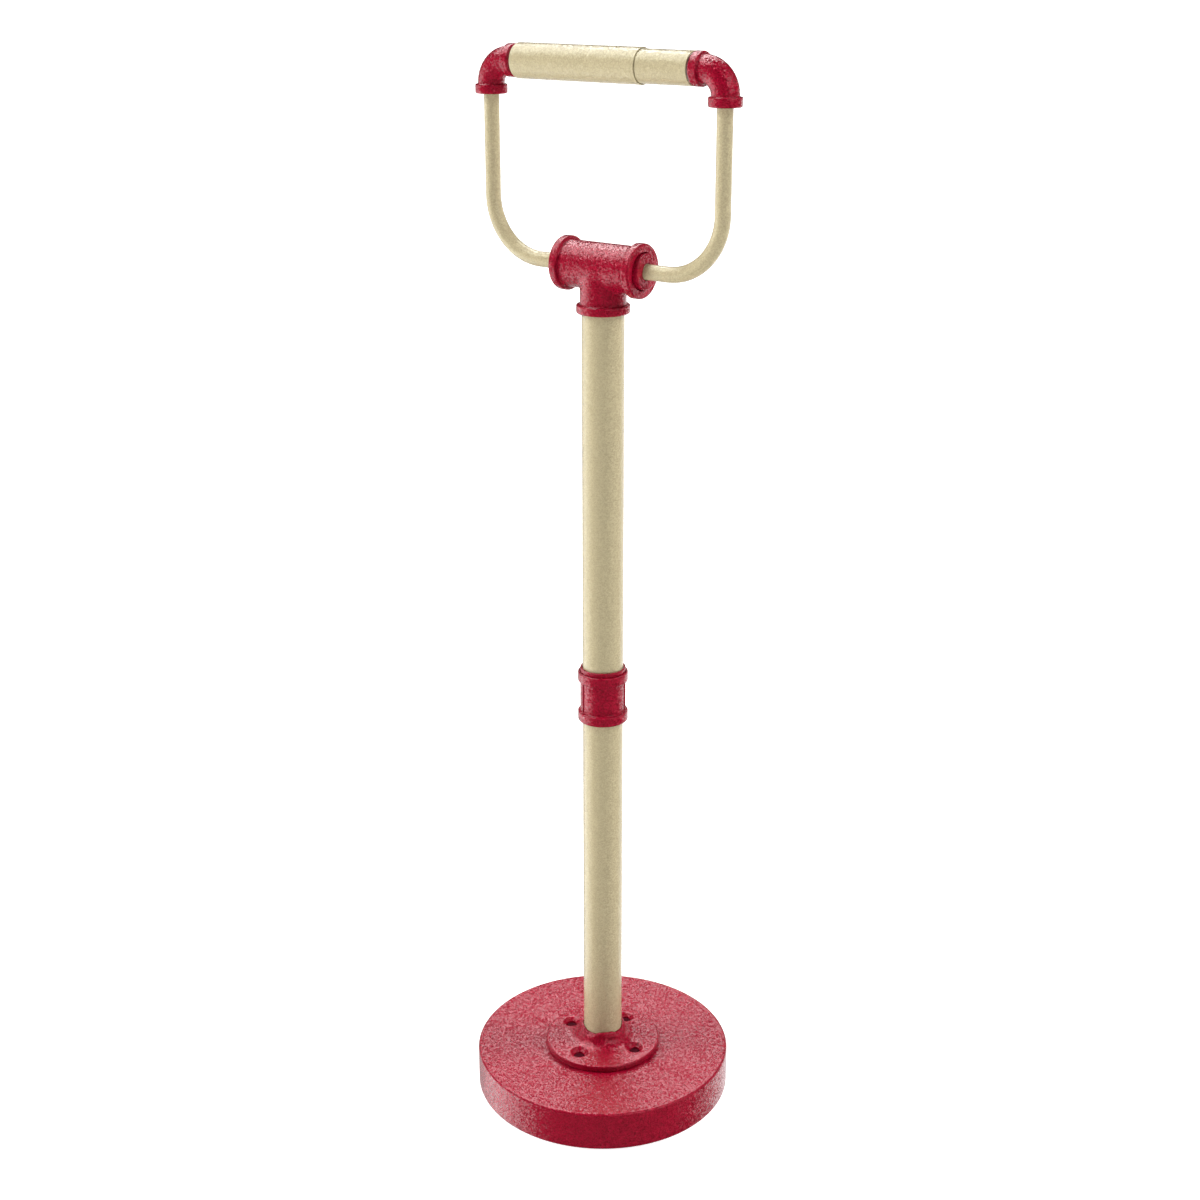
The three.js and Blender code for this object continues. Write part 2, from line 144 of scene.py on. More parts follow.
# ---- Materials ----
class Shader:
    """A node material under construction: links helper nodes to one Principled shader."""

    def __init__(self, name):
        self.material = bpy.data.materials.new(name)
        self.material.use_nodes = True
        self.nodes = self.material.node_tree.nodes
        self.links = self.material.node_tree.links
        self.surface = self.nodes["Principled BSDF"]
        self.place = self.nodes.new("ShaderNodeTexCoord").outputs["Object"]
        self.bump_normal = None

    def noise(self, size, detail=2.0, roughness=0.5):
        """Noise whose lumps are about size millimetres across, from 0 to 1."""
        node = self.nodes.new("ShaderNodeTexNoise")
        node.inputs["Scale"].default_value = 1 / (size * MM)
        node.inputs["Detail"].default_value = detail
        node.inputs["Roughness"].default_value = roughness
        self.links.new(self.place, node.inputs["Vector"])
        return node.outputs["Fac"]

    def cells(self, size):
        """Random colour for each cell, cells being about size millimetres across."""
        node = self.nodes.new("ShaderNodeTexVoronoi")
        node.inputs["Scale"].default_value = 1 / (size * MM)
        self.links.new(self.place, node.inputs["Vector"])
        return node.outputs["Color"]

    def facets(self, cells, tilt, socket):
        """Tips each cell's face its own random way, on top of any relief already there."""
        way = self.nodes.new("ShaderNodeVectorMath")
        way.operation = "MULTIPLY_ADD"
        self.links.new(cells, way.inputs[0])
        way.inputs[1].default_value = (tilt, tilt, tilt)
        way.inputs[2].default_value = (-tilt / 2, -tilt / 2, -tilt / 2)
        tipped = self.nodes.new("ShaderNodeVectorMath")
        tipped.operation = "ADD"
        self.links.new(self.bump_normal, tipped.inputs[0])
        self.links.new(way.outputs["Vector"], tipped.inputs[1])
        unit = self.nodes.new("ShaderNodeVectorMath")
        unit.operation = "NORMALIZE"
        self.links.new(tipped.outputs["Vector"], unit.inputs[0])
        self.feed(socket, unit.outputs["Vector"])

    def ranged(self, value, low, high, to_low, to_high):
        node = self.nodes.new("ShaderNodeMapRange")
        self.links.new(value, node.inputs["Value"])
        bounds = {"From Min": low, "From Max": high, "To Min": to_low, "To Max": to_high}
        for socket, number in bounds.items():
            node.inputs[socket].default_value = number
        return node.outputs["Result"]

    def mixed(self, value, colour_low, colour_high):
        node = self.nodes.new("ShaderNodeMix")
        node.data_type = "RGBA"
        self.links.new(value, node.inputs["Factor"])
        node.inputs["A"].default_value = (*colour_low, 1)
        node.inputs["B"].default_value = (*colour_high, 1)
        return node.outputs["Result"]

    def bump(self, height, depth, strength=1.0):
        """Adds relief depth millimetres deep on top of any relief already there."""
        node = self.nodes.new("ShaderNodeBump")
        node.inputs["Distance"].default_value = depth * MM
        node.inputs["Strength"].default_value = strength
        self.links.new(height, node.inputs["Height"])
        if self.bump_normal:
            self.links.new(self.bump_normal, node.inputs["Normal"])
        self.bump_normal = node.outputs["Normal"]
        self.links.new(self.bump_normal, self.surface.inputs["Normal"])

    def feed(self, socket, value):
        self.links.new(value, self.surface.inputs[socket])

    def fixed(self, **numbers):
        for socket, number in numbers.items():
            self.surface.inputs[socket.replace("_", " ")].default_value = number


def powder_coat(name, dark, light, tint, size, tilt, clear):
    """Fine-textured powder coat: tipped grains under a millimetre across, below a clear layer. Each grain
    takes a random tone that is partly the coat's own grain and partly a painted glint for its sparkle.
    """
    coat = Shader(name)
    grain = coat.cells(size)
    peel = coat.noise(size=3.0, detail=2.0)
    # Grain tone from dark to light: partly real grain, partly painted glints standing in for sparkle
    # highlights.
    coat.feed("Base Color", coat.mixed(coat.ranged(grain, 0.1, 0.9, 0.0, 1.0), dark, light))
    coat.feed("Roughness", coat.ranged(peel, 0.3, 0.7, 0.26, 0.16))
    coat.bump(peel, depth=0.25)
    coat.facets(grain, tilt, "Normal")
    coat.facets(grain, tilt * 0.6, "Coat Normal")
    coat.fixed(IOR=1.4, Specular_Tint=(*tint, 1))
    coat.fixed(Coat_Weight=clear, Coat_Roughness=0.18, Coat_IOR=1.5)
    return coat.material


def steel_finish(name, dark, light):
    """Zinc-plated steel with a faint spangle."""
    steel = Shader(name)
    spangle = steel.noise(size=1.6, detail=3.0)
    steel.feed("Base Color", steel.mixed(spangle, dark, light))
    steel.feed("Roughness", steel.ranged(spangle, 0.3, 0.7, 0.28, 0.42))
    steel.bump(steel.noise(size=0.5), depth=0.01, strength=0.4)
    steel.fixed(Metallic=1.0)
    return steel.material


def dull_dark_finish(name, dark, light):
    """Dull dark finish: blackened steel for the screws and washers, and the painted shade on the screws'
    coated ends.
    """
    oxide = Shader(name)
    bloom = oxide.noise(size=1.6, detail=3.0)
    oxide.feed("Base Color", oxide.mixed(bloom, dark, light))
    oxide.feed("Roughness", oxide.ranged(bloom, 0.3, 0.7, 0.7, 0.85))
    oxide.bump(bloom, depth=0.02, strength=0.4)
    oxide.fixed(Specular_IOR_Level=0.05)
    return oxide.material


def nylon():
    """Natural nylon, slightly cloudy."""
    plastic = Shader("natural_nylon")
    cloud = plastic.noise(size=6.0, detail=3.0)
    plastic.feed("Base Color", plastic.mixed(cloud, (0.70, 0.67, 0.58), (0.80, 0.78, 0.70)))
    plastic.feed("Roughness", plastic.ranged(cloud, 0.3, 0.7, 0.45, 0.55))
    plastic.bump(plastic.noise(size=0.7), depth=0.02, strength=0.4)
    return plastic.material


def pad_rubber():
    """Black rubber with a fine moulded grain."""
    rubber = Shader("pad_rubber")
    grain = rubber.noise(size=0.8, detail=3.0)
    rubber.feed("Base Color", rubber.mixed(grain, (0.010, 0.010, 0.011), (0.022, 0.022, 0.023)))
    rubber.feed("Roughness", rubber.ranged(grain, 0.3, 0.7, 0.75, 0.9))
    rubber.bump(grain, depth=0.12, strength=0.6)
    return rubber.material


MATERIALS = {
    "red_coat": powder_coat("crimson_coat", RED_DARK, RED_GRAIN_GLINT, RED_TINT, 0.7, tilt=0.55, clear=0.7),
    "cream_coat": powder_coat("cream_coat", CREAM_DARK, CREAM_GRAIN_GLINT, CREAM_TINT, 0.7, tilt=0.3, clear=0.6),
    "steel": steel_finish("zinc_plate", dark=(0.42, 0.43, 0.45), light=(0.62, 0.63, 0.65)),
    "nylon": nylon(),
    "pad_rubber": pad_rubber(),
}
BLACKENED = dull_dark_finish("dull_dark_finish", (0.012, 0.006, 0.006), (0.030, 0.014, 0.015))
# Screw ends: red coat painted near black, as painted shade for the inside of the holes.
END_COAT_PAINTED_SHADE = dull_dark_finish("oversprayed_end_painted_shade", (0.030, 0.001, 0.004), (0.060, 0.002, 0.008))


# ---- Skins ----
def skin(node, geometry, material=None, turned_shape=True):
    """Makes a piece from (vertices in mm, faces) that stands for a CAD node and moves with its body."""
    vertices, faces = geometry
    shape = bmesh.new()
    made = [shape.verts.new(v) for v in np.asarray(vertices, float) * MM]
    for face in faces:
        shape.faces.new([made[i] for i in face])
    bmesh.ops.remove_doubles(shape, verts=shape.verts, dist=1e-7)
    bmesh.ops.recalc_face_normals(shape, faces=shape.faces)
    for face in shape.faces:
        face.smooth = True
    mesh = bpy.data.meshes.new(node + "_skin")
    shape.to_mesh(mesh)
    shape.free()
    piece = bpy.data.objects.new(node + "_skin", mesh)
    bpy.context.scene.collection.objects.link(piece)
    mesh.materials.append(material or MATERIALS[SLOT_OF[node]])
    if turned_shape:
        weighted = piece.modifiers.new("flat faces stay flat", "WEIGHTED_NORMAL")
        weighted.weight = 100
    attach(piece, BODY_OF[node])
    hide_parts(node)
    return piece


# ---- Turned shapes ----
def rounded(outline):
    """Points of a closed outline of (radius, height, rounding) corners, each corner turned into an arc."""
    points = []
    for i, (radius, height, rounding) in enumerate(outline):
        corner = np.array([radius, height], float)
        if rounding == 0:
            points.append(corner)
            continue
        ways = [np.array(outline[(i + step) % len(outline)][:2], float) - corner for step in (-1, 1)]
        lengths = [np.linalg.norm(way) for way in ways]
        back, on = (way / length for way, length in zip(ways, lengths))
        half = math.acos(np.clip(back @ on, -1, 1)) / 2
        reach = min(rounding / math.tan(half), 0.48 * min(lengths))
        middle = corner + (back + on) / np.linalg.norm(back + on) * reach / math.cos(half)
        start, end = corner + back * reach - middle, corner + on * reach - middle
        sweep = math.pi - 2 * half
        for angle in np.linspace(0, sweep, ARC_STEPS + 1):
            blend = start * math.sin(sweep - angle) + end * math.sin(angle)
            points.append(middle + blend / math.sin(sweep))
    return np.array(points)


def turned(outline, sides=SIDES):
    """A closed outline turned about Z. It closes on the axis where its first and last corners lie there."""
    points = rounded(outline)
    count = len(points)
    rings = count - 1 if outline[0][0] == 0 else count
    angles = np.linspace(0, 2 * math.pi, sides, endpoint=False)
    x = points[:, 0, None] * np.cos(angles)
    y = points[:, 0, None] * np.sin(angles)
    z = np.repeat(points[:, 1, None], sides, axis=1)
    vertices = np.stack([x, y, z], axis=-1).reshape(-1, 3)
    faces = []
    for i in range(rings):
        here, there = i * sides, (i + 1) % count * sides
        for j in range(sides):
            k = (j + 1) % sides
            face = [here + j, here + k, there + k, there + j]
            if points[i, 0] == 0:
                face = [here, there + k, there + j]
            elif points[(i + 1) % count, 0] == 0:
                face = [here + j, here + k, there]
            faces.append(face)
    if outline[0][0] == 0:  # one vertex stands for the whole ring where the outline meets the axis
        used = sorted({i for face in faces for i in face})
        renumber = {old: new for new, old in enumerate(used)}
        vertices = vertices[used]
        faces = [[renumber[i] for i in face] for face in faces]
    return vertices, faces


def laid(geometry, side, height):
    """Lays a shape made along +Z along +X or -X, at a height."""
    vertices, faces = geometry
    x, y, z = np.asarray(vertices, float).T
    return np.stack([side * z, y, height - side * x], axis=-1), faces


def moved(geometry, x, y):
    vertices, faces = geometry
    return np.asarray(vertices, float) + (x, y, 0), faces


def swept(points, across, radius, sides):
    """A round bar along points. across holds a direction square to the route at each point."""
    points, across = np.asarray(points, float), np.asarray(across, float)
    along = np.gradient(points, axis=0)
    along /= np.linalg.norm(along, axis=1)[:, None]
    other = np.cross(along, across)
    shrink = np.full(len(points), 1.0)
    shrink[[0, -1]] = 1 - SWEPT_EDGE / radius
    angles = np.linspace(0, 2 * math.pi, sides, endpoint=False)
    ring = across[:, None] * np.cos(angles)[:, None] + other[:, None] * np.sin(angles)[:, None]
    vertices = (points[:, None] + ring * radius * shrink[:, None, None]).reshape(-1, 3)
    faces = [list(range(sides)), [len(vertices) - 1 - i for i in range(sides)]]
    for i in range(len(points) - 1):
        for j in range(sides):
            k = (j + 1) % sides
            faces.append([i * sides + j, i * sides + k, (i + 1) * sides + k, (i + 1) * sides + j])
    return vertices, faces


# ---- Cast shapes, as signed distances in millimetres ----
def capped(radial, along, low, high, radius, rounding=0.0):
    """Distance to a cylinder with rounded rims, from distances off its axis and along it."""
    off = radial - radius + rounding
    past = np.abs(along - (low + high) / 2) - (high - low) / 2 + rounding
    outside = np.hypot(np.maximum(off, 0), np.maximum(past, 0))
    return outside + np.minimum(np.maximum(off, past), 0) - rounding


def join(a, b, blend):
    """Both shapes, with a fillet where they meet."""
    near = np.maximum(blend - np.abs(a - b), 0) / blend
    return np.minimum(a, b) - near * near * blend / 4


def cut(a, b, blend):
    """The first shape without the second, with a rounded edge where they meet."""
    return -join(-a, b, blend)


def trim(shape, along, low, high, blend):
    """The part of a shape between two heights along a line, with rounded edges at both."""
    return cut(shape, (high - low) / 2 - np.abs(along - (low + high) / 2), blend)


def hexagon(u, v, flats):
    """Distance to a hexagonal prism with corners on the u axis, from half its width across flats."""
    turn = np.arctan2(v, u) % (math.pi / 3) - math.pi / 6
    return np.hypot(u, v) * np.cos(turn) - flats


RELAX_ROUNDS = 2  # times that a cast mesh's vertices are evened out
SETTLE_STEPS = 4  # moves that bring a vertex onto the surface


def cast(distance, low, high, step):
    """Closed mesh of the surface where distance is 0: one vertex in each cell it crosses, moved onto it."""
    ticks = [np.arange(a - 1.5 * step, b + 2.5 * step, step) for a, b in zip(low, high)]
    inside = distance(*np.meshgrid(*ticks, indexing="ij")) < 0
    cells = tuple(n - 1 for n in inside.shape)
    corners = np.zeros(cells, int)
    for i, j, k in np.ndindex(2, 2, 2):
        corners += inside[i : i + cells[0], j : j + cells[1], k : k + cells[2]]
    crossed = (corners > 0) & (corners < 8)
    index = np.full(cells, -1)
    index[crossed] = np.arange(crossed.sum())
    origin = np.array([t[0] for t in ticks])
    points = origin + (np.argwhere(crossed) + 0.5) * step
    quads = []
    for axis in range(3):
        lower = inside.take(range(cells[axis]), axis)
        upper = inside.take(range(1, cells[axis] + 1), axis)
        u, v = (axis + 1) % 3, (axis + 2) % 3
        for leaving in (True, False):
            edges = np.argwhere((lower & ~upper) if leaving else (~lower & upper))
            ring = []
            for du, dv in ((0, 0), (1, 0), (1, 1), (0, 1)):
                cell = edges.copy()
                cell[:, u] -= du
                cell[:, v] -= dv
                ring.append(index[tuple(cell.T)])
            quad = np.stack(ring, axis=-1)
            quads.append(quad if leaving else quad[:, ::-1])
    quads = np.concatenate(quads)
    sides = np.concatenate([quads[:, [a, b]] for a, b in ((0, 1), (1, 2), (2, 3), (3, 0))])
    for round_number in range(RELAX_ROUNDS + 1):
        if round_number:
            total, count = np.zeros_like(points), np.zeros(len(points))
            np.add.at(total, sides[:, 0], points[sides[:, 1]])
            np.add.at(count, sides[:, 0], 1)
            points = total / count[:, None]
        for _ in range(SETTLE_STEPS):
            points = onto(distance, points)
    return points, quads.tolist()


def onto(distance, points):
    """Moves points towards the surface, along the distance's slope."""
    here = distance(*points.T)
    slope = np.empty_like(points)
    for axis in range(3):
        shift = np.zeros(3)
        shift[axis] = NUDGE
        rise = distance(*(points + shift).T) - distance(*(points - shift).T)
        slope[:, axis] = rise / (2 * NUDGE)
    steep = np.maximum((slope**2).sum(axis=1), 0.2)
    return points - slope * (here / steep)[:, None]


# ---- Base ----
def bolt_places():
    return [
        (BOLT_CIRCLE_R * math.cos(i * math.pi / 2), BOLT_CIRCLE_R * math.sin(i * math.pi / 2))
        for i in range(4)
    ]


def base_disc():
    low, high = span("base_disc")
    pad_r = span("base_pad")[1][0]
    radius, foot, top = high[0], low[2], high[2]
    groove = foot + PAD_GROOVE
    return turned(
        [
            (0, foot, 0),
            (PAD_INNER_R - GAP, foot, 0.3),
            (PAD_INNER_R - GAP, groove, 0),
            (pad_r + GAP, groove, 0),
            (pad_r + GAP, foot, 0.3),
            (radius, foot, 1.6),
            (radius, top, 1.8),
            (0, top, 0),
        ],
        sides=2 * SIDES,
    )


def drill(x, y):
    """A stepped drill as an object: the screw's hole with its counterbore below."""
    top = span("base_disc")[1][2]
    outline = [
        (0, -DRILL_OVER, 0),
        (COUNTERBORE_R, -DRILL_OVER, 0),
        (COUNTERBORE_R, COUNTERBORE_TOP, 0),
        (SCREW_R + GAP, COUNTERBORE_TOP, 0),
        (SCREW_R + GAP, top + DRILL_OVER, 0),
        (0, top + DRILL_OVER, 0),
    ]
    vertices, faces = moved(turned(outline, sides=64), x, y)
    shape = bmesh.new()
    made = [shape.verts.new(v) for v in vertices * MM]
    for face in faces:
        shape.faces.new([made[i] for i in face])
    bmesh.ops.recalc_face_normals(shape, faces=shape.faces)
    mesh = bpy.data.meshes.new("drill")
    shape.to_mesh(mesh)
    shape.free()
    tool = bpy.data.objects.new("drill", mesh)
    bpy.context.scene.collection.objects.link(tool)
    return tool


def bore_base(base):
    """Cuts the four screw holes and their counterbores into the base's skin."""
    for x, y in bolt_places():
        tool = drill(x, y)
        drilled = base.modifiers.new("drilled", "BOOLEAN")
        drilled.operation = "DIFFERENCE"
        drilled.object = tool
        bpy.context.view_layer.update()
        shape = bpy.data.meshes.new_from_object(base.evaluated_get(bpy.context.evaluated_depsgraph_get()))
        base.modifiers.remove(drilled)
        bpy.data.objects.remove(tool)
        base.data = shape
    base.data.name = base.name


def base_pad():
    low, high = span("base_pad")
    return turned(
        [
            (PAD_INNER_R, low[2], 0.5),
            (high[0], low[2], 0.5),
            (high[0], high[2], 0.3),
            (PAD_INNER_R, high[2], 0.3),
        ]
    )


def base_screw(x, y):
    low, high = span("base_screw_1")
    head_r = high[0] - (low[0] + high[0]) / 2
    foot, tip = low[2], high[2]
    head_top = foot + SCREW_HEAD_H

    def distance(px, py, pz):
        radial = np.hypot(px, py)
        head = capped(radial, pz, foot, head_top, head_r, 0.6)
        shank = capped(radial, pz, head_top - 1, tip, SCREW_R, 0.6)
        flats = SOCKET_R * math.cos(math.pi / 6)
        socket = np.maximum(hexagon(px, py, flats), pz - foot - SOCKET_DEPTH)
        return cut(join(head, shank, 0.5), socket, 0.3)

    box = ((-head_r, -head_r, foot), (head_r, head_r, tip))
    return moved(cast(distance, *box, step=0.45), x, y)


def coat_end_painted_shade(screw):
    """The end that shows in the flange was coated along with it, and it is painted dark red as the shade
    inside its hole.
    """
    above = span("floor_flange")[0][2] * MM
    screw.data.materials.append(END_COAT_PAINTED_SHADE)
    for face in screw.data.polygons:
        # Faces above the flange's foot get the painted shade.
        if face.center.z > above:
            face.material_index = 1


def base_washer(x, y):
    low, high = span("base_washer_1")
    radius = (high[0] - low[0]) / 2
    outline = [
        (SCREW_R + GAP, low[2], 0.15),
        (radius, low[2], 0.3),
        (radius, high[2], 0.3),
        (SCREW_R + GAP, high[2], 0.15),
    ]
    return moved(turned(outline, sides=72), x, y)


def floor_flange():
    low, high = span("floor_flange")
    radius, foot, top = high[0], low[2], high[2]
    rim = foot + FLANGE_RIM - 0.1
    rise = FLANGE_RISE / (radius - FLANGE_NECK_R)

    def distance(x, y, z):
        radial = np.hypot(x, y)
        over_plate = (z - rim - (radius - radial) * rise) / math.hypot(1, rise)
        plate = cut(radial - radius, -over_plate, 1.4)
        hub = radial - FLANGE_HUB_R - (top - z) * FLANGE_HUB_SPREAD
        body = join(plate, hub / math.hypot(1, FLANGE_HUB_SPREAD), 5.5)
        body = trim(body, z, foot, top, 1.2)
        for bx, by in bolt_places():
            off = np.hypot(x - bx, y - by) - SCREW_R - GAP
            cone = np.maximum((off - (z - FLANGE_CONE_FOOT)) / math.sqrt(2), FLANGE_CONE_FOOT - z)
            body = cut(body, np.minimum(off, cone), 0.7)
        mouth = capped(radial, z, top - MOUTH_DEPTH, top + 5, FITTING_BORE_R + 0.95)
        return cut(body, np.minimum(mouth, radial - FITTING_BORE_R), 0.4)

    return cast(distance, low, high, step=0.45)


# ---- Pole ----
def pipe(node):
    """Pipe with turned-down ends, from the box of its node."""
    low, high = span(node)
    radius, foot, top = high[0], low[2], high[2]
    lower, upper = foot + THREAD_LENGTH, top - THREAD_LENGTH
    return turned(
        [
            (PIPE_BORE_R, foot, 0.4),
            (THREAD_R, foot, 0.6),
            (THREAD_R, lower, 0),
            (radius, lower, 0.4),
            (radius, upper, 0.4),
            (THREAD_R, upper, 0),
            (THREAD_R, top, 0.6),
            (PIPE_BORE_R, top, 0.4),
        ]
    )


def pole_coupling():
    low, high = span("pole_coupling")
    band_r, foot, top = high[0], low[2], high[2]
    pipe_r = span("upper_pipe")[1][0]
    turn = math.radians(RIB_ANGLE)

    def distance(x, y, z):
        radial = np.hypot(x, y)
        across = np.abs(y * math.cos(turn) - x * math.sin(turn)) - RIB_WIDTH / 2
        body = join(radial - COUPLING_BODY_R, np.maximum(radial - COUPLING_RIB_R, across), 0.25)
        for start, end in ((foot - 9, foot + COUPLING_BAND_H), (top - COUPLING_BAND_H, top + 9)):
            body = join(body, capped(radial, z, start, end, band_r, 0.7), 0.7)
        body = trim(body, z, foot, top, 1.2)
        mouths = np.minimum(
            capped(radial, z, foot - 5, foot + MOUTH_DEPTH, pipe_r + GAP),
            capped(radial, z, RING_BOTTOM - 0.1, top + 5, RING_R + GAP),
        )
        return cut(body, np.minimum(mouths, radial - FITTING_BORE_R), 0.6)

    return cast(distance, low, high, step=0.42)


def coupling_ring():
    low, high = span("coupling_ring")
    bore = span("upper_pipe")[1][0] + GAP
    return turned(
        [
            (bore, low[2], 0.2),
            (high[0], low[2], 0.2),
            (high[0], high[2], 0.9),
            (bore, high[2], 0.25),
        ]
    )


# ---- Tee ----
def tee_fitting():
    low, high = span("tee_fitting")
    half, band_r, foot = high[0], high[1], low[2]
    axis_z = high[2] - band_r
    pipe_r = span("upper_pipe")[1][0]

    def distance(x, y, z):
        level, upright = np.hypot(y, z - axis_z), np.hypot(x, y)
        branch = capped(upright, z, foot - 9, axis_z, TEE_BODY_R)
        body = join(level - TEE_BODY_R, branch, 1.6)
        rims = capped(level, np.abs(x), half - TEE_BAND_W, half + 9, band_r, 0.9)
        foot_rim = capped(upright, z, foot - 9, foot + TEE_BAND_W, band_r, 0.9)
        body = join(join(body, rims, 0.8), foot_rim, 0.8)
        body = trim(body, x, -half, half, 1.5)
        body = cut(body, z - foot, 1.5)
        bores = np.minimum(level - TEE_RUN_BORE_R, capped(upright, z, foot - 5, axis_z, FITTING_BORE_R))
        bores = np.minimum(bores, capped(upright, z, foot - 5, foot + MOUTH_DEPTH, pipe_r + GAP))
        return cut(body, bores, 0.8)

    return cast(distance, low, high, step=0.48)


def tee_bushing(node, side):
    low, high = span(node)
    near, far = sorted((abs(low[0]), abs(high[0])))
    outline = [
        (ROD_R + GAP, near, 0.3),
        (high[1], near, 0.4),
        (high[1], far, 0.9),
        (ROD_R + GAP, far, 0.4),
    ]
    return laid(turned(outline), side, (low[2] + high[2]) / 2)


# ---- Yoke ----
def yoke_rod(node, side):
    low, high = span(node)
    near, far = sorted((abs(low[0]), abs(high[0])))
    x, foot, top = far - ROD_R, low[2] + ROD_R, high[2]
    bend = np.radians(np.linspace(0, 90, 33))
    route = [(near, foot), (near + SWEPT_EDGE, foot)]
    route += [(x - ROD_BEND_R * (1 - math.sin(a)), foot + ROD_BEND_R * (1 - math.cos(a))) for a in bend]
    route += [(x, top - SWEPT_EDGE), (x, top)]
    points = np.array([(side * px, 0, pz) for px, pz in route])
    return swept(points, np.tile((0.0, 1.0, 0.0), (len(points), 1)), ROD_R, sides=48)


def rod_nut(node, side):
    low, high = span(node)
    near, far = sorted((abs(low[0]), abs(high[0])))
    middle = (low[2] + high[2]) / 2
    flats = (high[2] - low[2]) / 2

    def distance(x, y, z):
        radial = np.hypot(y, z - middle)
        ends = np.abs(side * x - (near + far) / 2) - (far - near) / 2
        chamfer = radial + ends - high[1] + 0.6
        body = cut(hexagon(y, z - middle, flats), -np.maximum(ends, chamfer), 0.3)
        return cut(body, radial - ROD_R - GAP, 0.3)

    return cast(distance, low, high, step=0.45)


def elbow(node, side):
    low, high = span(node)
    inner, outer = sorted((abs(low[0]), abs(high[0])))
    leg_x = outer - ELBOW_BAND_R
    axis_z = high[2] - ELBOW_BAND_R
    port_z = low[2]
    bend_x, bend_z = leg_x - ELBOW_BEND_R, axis_z - ELBOW_BEND_R

    def bar(x, y, z, radius):
        """An endless bar that goes round the bend."""
        level = np.where(x <= bend_x, np.hypot(y, z - axis_z), np.inf)
        upright = np.where(z <= bend_z, np.hypot(y, x - leg_x), np.inf)
        around = np.hypot(np.hypot(x - bend_x, z - bend_z) - ELBOW_BEND_R, y)
        around = np.where((x > bend_x) & (z > bend_z), around, np.inf)
        return np.minimum(np.minimum(level, upright), around) - radius

    def distance(x, y, z):
        x = side * x
        level, upright = np.hypot(y, z - axis_z), np.hypot(x - leg_x, y)
        side_band = capped(level, x, inner - 9, inner + ELBOW_BAND_W, ELBOW_BAND_R, 0.7)
        foot_band = capped(upright, z, port_z - 9, port_z + ELBOW_BAND_W, ELBOW_BAND_R, 0.7)
        body = join(join(bar(x, y, z, ELBOW_BODY_R), side_band, 0.6), foot_band, 0.6)
        body = cut(cut(body, x - inner, 1.2), z - port_z, 1.2)
        return cut(body, bar(x, y, z, ELBOW_BORE_R), 0.5)

    return cast(distance, low, high, step=0.4)


def elbow_bushing(node):
    low, high = span(node)
    radius = (high[0] - low[0]) / 2
    outline = [
        (ROD_R + GAP, low[2], 0.4),
        (radius, low[2], 0.4),
        (radius, high[2], 0.3),
        (ROD_R + GAP, high[2], 0.3),
    ]
    return moved(turned(outline, sides=96), (low[0] + high[0]) / 2, 0)


def roller_seat(node, side):
    low, high = span(node)
    near, far = sorted((abs(low[0]), abs(high[0])))
    outline = [
        (0, far - SEAT_WALL, 0),
        (TIP_HOLE_R, far - SEAT_WALL, 0.3),
        (TIP_HOLE_R, near, 0.5),
        (high[1], near, 0.4),
        (high[1], far, 0.8),
        (0, far, 0),
    ]
    return laid(turned(outline, sides=96), side, (low[2] + high[2]) / 2)


# ---- Roller ----
def roller_tube(node, wall):
    low, high = span(node)
    radius = high[1]
    outline = [
        (radius - wall, low[0], 0.2),
        (radius, low[0], 0.3),
        (radius, high[0], 0.3),
        (radius - wall, high[0], 0.2),
    ]
    return laid(turned(outline), 1, (low[2] + high[2]) / 2)


def roller_tip(node, side):
    low, high = span(node)
    near, far = sorted((abs(low[0]), abs(high[0])))
    face = near + PLUG_H
    outline = [
        (0, near, 0),
        (high[1], near, 0.4),
        (high[1], face, 0.4),
        (TIP_R, face, 1.0),
        (TIP_R, far, TIP_EDGE),
        (0, far, 0),
    ]
    return laid(turned(outline, sides=96), side, (low[2] + high[2]) / 2)


def roller_spring():
    low, high = span("roller_sleeve")
    middle = (low[2] + high[2]) / 2
    inset = PLUG_SET_BACK + PLUG_H + WIRE_R + GAP
    start, end = low[0] + inset, span("roller_plunger")[1][0] - inset
    angles = np.linspace(0, 2 * math.pi * SPRING_TURNS, SPRING_TURNS * 28)
    across = np.stack([np.zeros_like(angles), np.cos(angles), np.sin(angles)], axis=-1)
    points = across * SPRING_R + (0, 0, middle)
    points[:, 0] = np.linspace(start, end, len(angles))
    return swept(points, across, WIRE_R, sides=10)


# ---- The stand ----
base = skin("base_disc", base_disc())
bore_base(base)
skin("base_pad", base_pad())
for number, (bolt_x, bolt_y) in enumerate(bolt_places(), start=1):
    coat_end_painted_shade(skin(f"base_screw_{number}", base_screw(bolt_x, bolt_y), BLACKENED, turned_shape=False))
    skin(f"base_washer_{number}", base_washer(bolt_x, bolt_y), BLACKENED)
skin("floor_flange", floor_flange(), turned_shape=False)
skin("lower_pipe", pipe("lower_pipe"))
skin("pole_coupling", pole_coupling(), turned_shape=False)
skin("coupling_ring", coupling_ring())
skin("upper_pipe", pipe("upper_pipe"))
skin("tee_fitting", tee_fitting(), turned_shape=False)
for word, way in (("left", -1), ("right", 1)):
    skin(f"tee_bushing_{word}", tee_bushing(f"tee_bushing_{word}", way))
    skin(f"rod_nut_{word}", rod_nut(f"rod_nut_{word}", way), turned_shape=False)
    skin(f"yoke_rod_{word}", yoke_rod(f"yoke_rod_{word}", way))
    skin(f"elbow_{word}", elbow(f"elbow_{word}", way), turned_shape=False)
    skin(f"elbow_bushing_{word}", elbow_bushing(f"elbow_bushing_{word}"))
    skin(f"roller_seat_{word}", roller_seat(f"roller_seat_{word}", way))
    skin(f"roller_tip_{word}", roller_tip(f"roller_tip_{word}", way))
